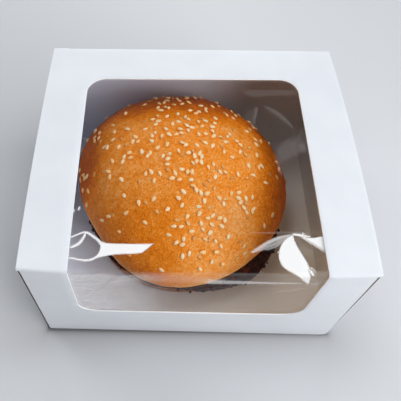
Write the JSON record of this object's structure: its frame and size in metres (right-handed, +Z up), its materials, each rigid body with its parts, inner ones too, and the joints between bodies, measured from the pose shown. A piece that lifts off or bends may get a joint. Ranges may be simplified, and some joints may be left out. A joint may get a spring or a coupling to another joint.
{
  "type": "burger in a windowed carton",
  "caption": "Sesame-seed burger inside its shut white takeaway carton, with a clear film window over the top and down the front.",
  "frame": {"origin": "centre of the carton's base, on the surface it stands on", "axes": "+X along the front to the right, +Y from the front to the back, +Z up"},
  "size_m": [0.1478, 0.1306, 0.0764],
  "materials": {
    "white_board": "matt white coated board",
    "clear_film": "clear glossy film",
    "baked_crust": "soft sheen of a baked crust",
    "fried_meat": "rough, slightly greasy fried meat",
    "heel_crust": "matt baked crust"
  },
  "bodies": {
    "root": {"carton": "white_board", "window_film": "clear_film", "bun_crown": "baked_crust", "patty": "fried_meat", "bun_heel": "heel_crust"}
  },
  "joints": []
}
